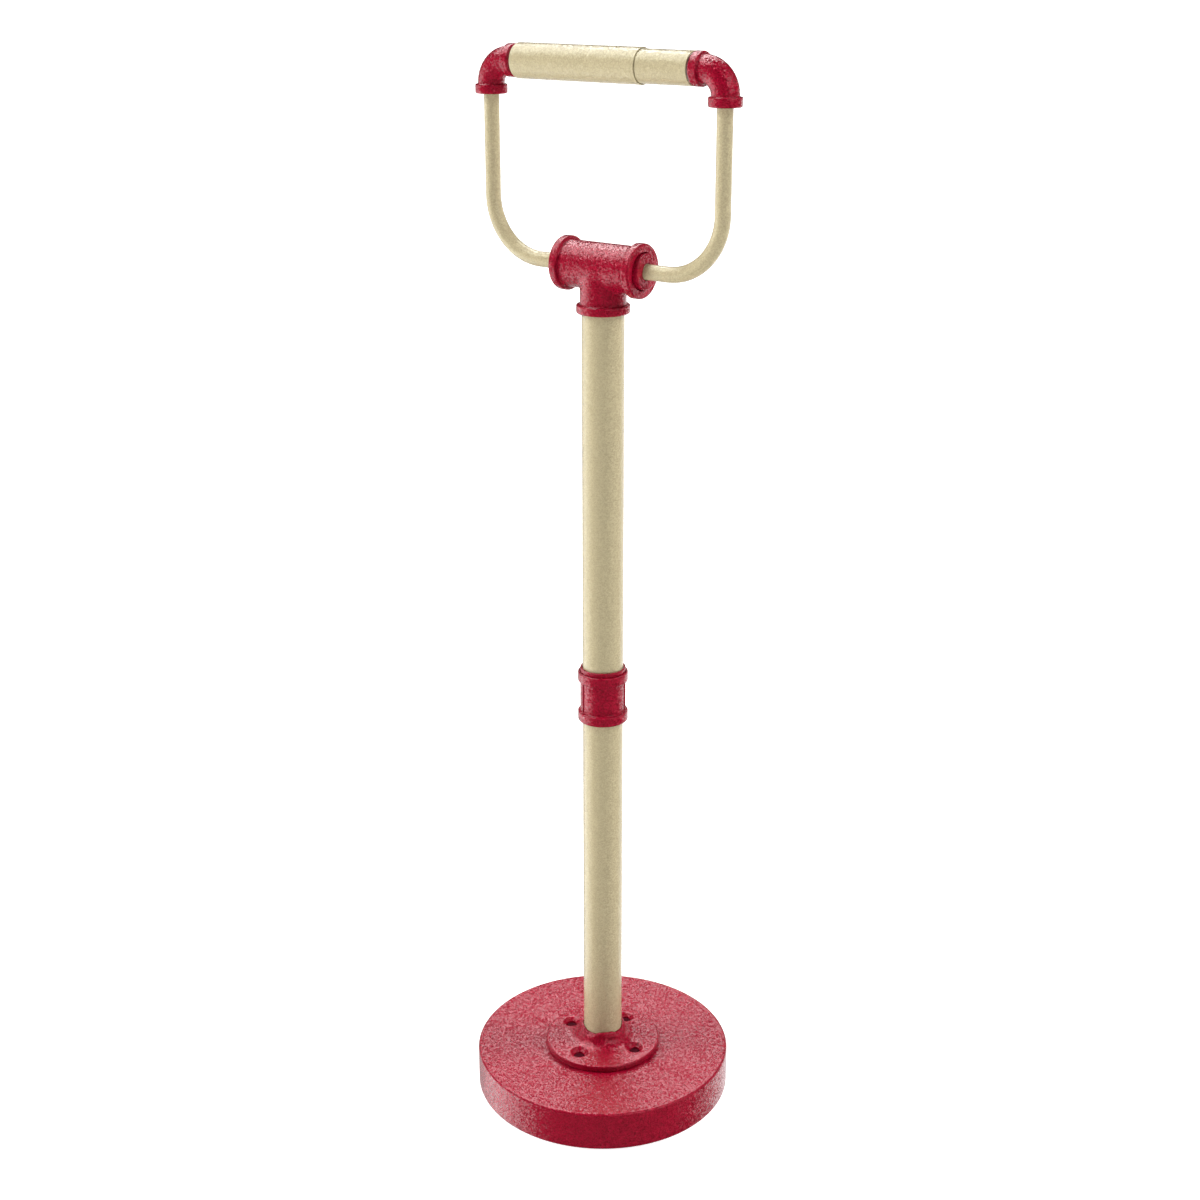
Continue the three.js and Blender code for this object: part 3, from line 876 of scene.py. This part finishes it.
skin("roller_sleeve", roller_tube("roller_sleeve", SLEEVE_WALL))
skin("roller_plunger", roller_tube("roller_plunger", PLUNGER_WALL))

spring = skin("roller_spring", roller_spring(), turned_shape=False)
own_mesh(spring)


# ---- Floor, light and camera ----
FLOOR_REACH = 29.0  # metres
SURROUND_R = 30.0  # metres


def floor():
    mesh = bpy.data.meshes.new("floor")
    reach = FLOOR_REACH
    corners = [(-reach, -reach, 0), (reach, -reach, 0), (reach, reach, 0), (-reach, reach, 0)]
    mesh.from_pydata(corners, [], [(0, 1, 2, 3)])
    plane = bpy.data.objects.new("floor", mesh)
    bpy.context.scene.collection.objects.link(plane)
    paint = Shader("pale_floor")
    paint.fixed(Base_Color=(0.5, 0.5, 0.5, 1), Roughness=1.0, Specular_IOR_Level=0.0)
    paint.fixed(Emission_Color=(1, 1, 1, 1), Emission_Strength=0.89)
    mesh.materials.append(paint.material)
    plane.visible_glossy = False
    plane.visible_shadow = False


def backdrop():
    """White surround that only the camera sees, so that the studio's lights alone shade the stand."""
    shape = bmesh.new()
    bmesh.ops.create_icosphere(shape, subdivisions=4, radius=SURROUND_R)
    mesh = bpy.data.meshes.new("backdrop")
    shape.to_mesh(mesh)
    shape.free()
    surround = bpy.data.objects.new("backdrop", mesh)
    bpy.context.scene.collection.objects.link(surround)
    paint = Shader("white_surround")
    paint.fixed(Base_Color=(0, 0, 0, 1), Roughness=1.0, Specular_IOR_Level=0.0)
    paint.fixed(Emission_Color=(1, 1, 1, 1), Emission_Strength=1.1)
    mesh.materials.append(paint.material)
    surround.visible_diffuse = False
    surround.visible_glossy = False
    surround.visible_shadow = False


CAMERA_SIDE = -53.75  # degrees from +X round to the camera

# Each light: bearing to the left of the camera's side, lean from straight above, strength.
# Fill lights, which gloss doesn't see.
FILL_LIGHTS = {
    "right fill": (-90, 50, 3.2),
    "left fill": (90, 50, 2.5),
    "upper left fill": (60, 25, 0.4),
    "overhead fill": (0, 0, 0.25),
    "back fill": (180, 75, 1.8),
    "back left fill": (150, 75, 1.0),
    "back right fill": (-150, 75, 0.9),
    "low left fill": (70, 75, 1.1),
    "low right fill": (-70, 75, 0.3),
}
# Lights that only gloss sees.
GLOSS_LIGHTS = {
    "back gloss": (180, 35, 1.9),
    "back left gloss": (135, 35, 1.1),
    "left gloss": (90, 35, 1.4),
    "front right gloss": (-40, 60, 0.8),
    "right gloss": (-80, 60, 0.25),
}
# The bright floor's reflection, which only gloss sees.
FLOOR_GLOSS = {
    "left floor gloss": (105, 112, 1.5),
    "back left floor gloss": (155, 112, 0.3),
    "right floor gloss": (-135, 112, 0.55),
    "back right floor gloss": (-160, 112, 0.35),
}


def distant(name, bearing, lean, strength, spread):
    """Even light from far off. It comes from a disc that is spread degrees across."""
    light = bpy.data.lights.new(name, "SUN")
    light.energy = strength
    light.angle = math.radians(spread)
    lamp = bpy.data.objects.new(name, light)
    bpy.context.scene.collection.objects.link(lamp)
    lamp.location = (0, 0, 3)
    angle, tip = math.radians(CAMERA_SIDE - bearing), math.radians(lean)
    towards = Vector((math.cos(angle) * math.sin(tip), math.sin(angle) * math.sin(tip), math.cos(tip)))
    lamp.rotation_euler = (-towards).to_track_quat("-Z", "Y").to_euler()
    return lamp


def studio():
    scene = bpy.context.scene
    scene.view_settings.view_transform = "Standard"
    world = bpy.data.worlds.new("studio")
    scene.world = world
    world.use_nodes = True
    world.node_tree.nodes["Background"].inputs["Color"].default_value = (1, 1, 1, 1)
    world.node_tree.nodes["Background"].inputs["Strength"].default_value = 0.02
    for name, aim in FILL_LIGHTS.items():
        distant(name, *aim, spread=30).visible_glossy = False
    for name, aim in GLOSS_LIGHTS.items():
        distant(name, *aim, spread=40).visible_diffuse = False
    for name, aim in FLOOR_GLOSS.items():
        distant(name, *aim, spread=60).visible_diffuse = False


def camera():
    """55 mm lens, 1.13 m away and 36 degrees round to the right, looking 20 degrees down."""
    azimuth, aim, pitch = math.radians(36.25), math.radians(36.35), math.radians(19.84)
    away, height = 1.1267, 0.772
    lens = bpy.data.cameras.new("camera")
    lens.lens = 54.77
    eye = bpy.data.objects.new("camera", lens)
    bpy.context.scene.collection.objects.link(eye)
    eye.location = (away * math.sin(azimuth), -away * math.cos(azimuth), height)
    eye.rotation_euler = (math.pi / 2 - pitch, 0, aim)
    bpy.context.scene.camera = eye


floor()
backdrop()
studio()
camera()
